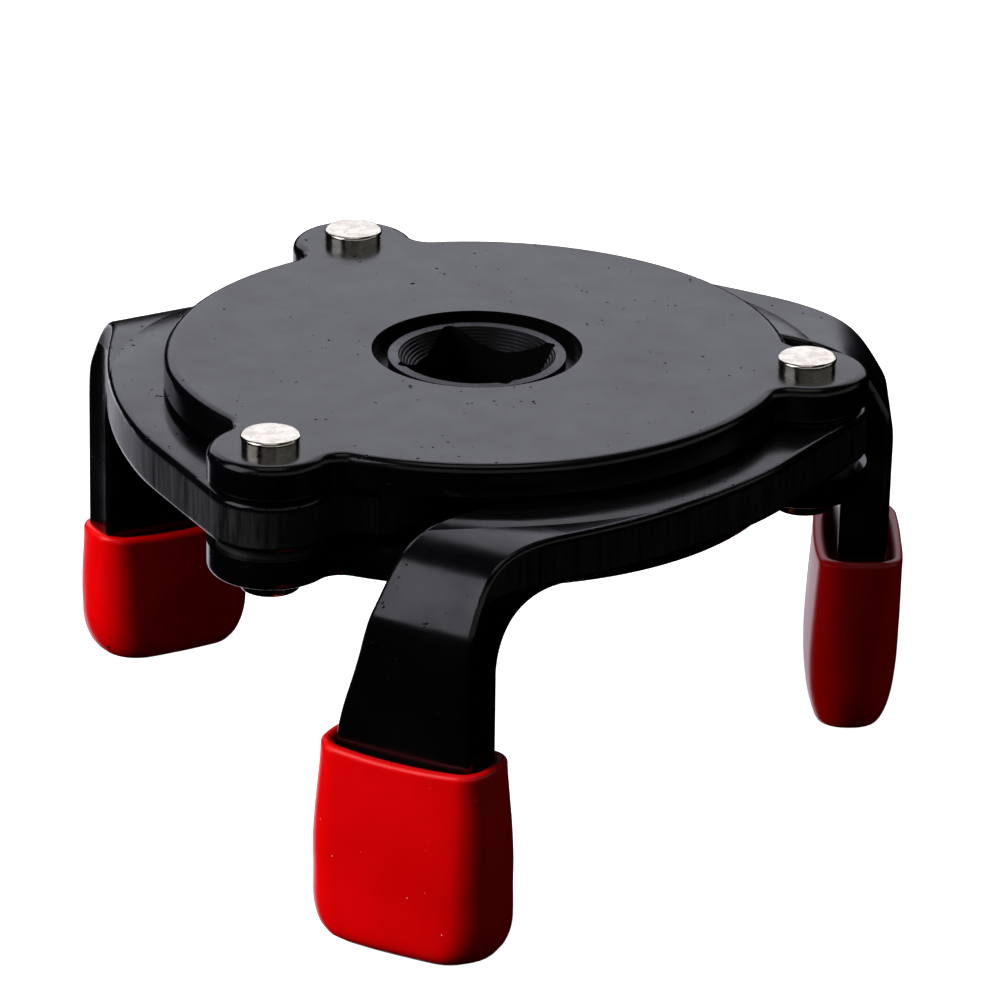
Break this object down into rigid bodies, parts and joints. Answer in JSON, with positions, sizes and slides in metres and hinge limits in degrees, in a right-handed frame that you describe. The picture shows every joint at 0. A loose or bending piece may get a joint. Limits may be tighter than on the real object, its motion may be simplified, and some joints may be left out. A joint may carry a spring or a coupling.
{
  "type": "oil filter wrench",
  "caption": "Geared three-jaw oil filter wrench: a square-driven gear closes bent legs with dipped grips on the filter's end.",
  "frame": {"origin": "middle of the square drive hole, level with the drive gear's top face", "axes": "+Z along the drive axis, away from the filter; the legs reach down towards -Z; -Y is the side the picture was taken from"},
  "size_m": [0.0671, 0.0683, 0.0367],
  "materials": {
    "black_paint": "gloss",
    "gear_steel": "turned",
    "bright_steel": "bright",
    "washer_steel": "satin",
    "red_vinyl": "gloss"
  },
  "bodies": {
    "frame": {"top_plate": "black_paint", "bottom_plate": "black_paint", "pivot_pin_1": "bright_steel", "pivot_pin_2": "bright_steel", "pivot_pin_3": "bright_steel", "upper_washer_1": "washer_steel", "upper_washer_2": "washer_steel", "upper_washer_3": "washer_steel", "lower_washer_1": "washer_steel", "lower_washer_2": "washer_steel", "lower_washer_3": "washer_steel"},
    "drive": {"drive_gear": "gear_steel"},
    "jaw_1": {"jaw_1": "black_paint", "grip_1": "red_vinyl"},
    "jaw_2": {"jaw_2": "black_paint", "grip_2": "red_vinyl"},
    "jaw_3": {"jaw_3": "black_paint", "grip_3": "red_vinyl"}
  },
  "joints": [
    {"name": "drive_turn", "type": "hinge", "parent": "frame", "child": "drive", "pos_m": [0, 0, 0], "axis": [0, 0, 1], "range_deg": [-32, 0]},
    {"name": "jaw_1_swing", "type": "hinge", "parent": "frame", "child": "jaw_1", "pos_m": [-0.01016, 0.02393, -0.0046], "axis": [0, 0, 1], "range_deg": [0, 48]},
    {"name": "jaw_2_swing", "type": "hinge", "parent": "frame", "child": "jaw_2", "pos_m": [-0.01565, -0.02076, -0.0046], "axis": [0, 0, 1], "range_deg": [0, 48]},
    {"name": "jaw_3_swing", "type": "hinge", "parent": "frame", "child": "jaw_3", "pos_m": [0.02581, -0.00317, -0.0046], "axis": [0, 0, 1], "range_deg": [0, 48]}
  ],
  "couplings": [
    {"joint": "jaw_1_swing", "follows": "drive_turn", "ratio": -1.5},
    {"joint": "jaw_2_swing", "follows": "drive_turn", "ratio": -1.5},
    {"joint": "jaw_3_swing", "follows": "drive_turn", "ratio": -1.5}
  ]
}
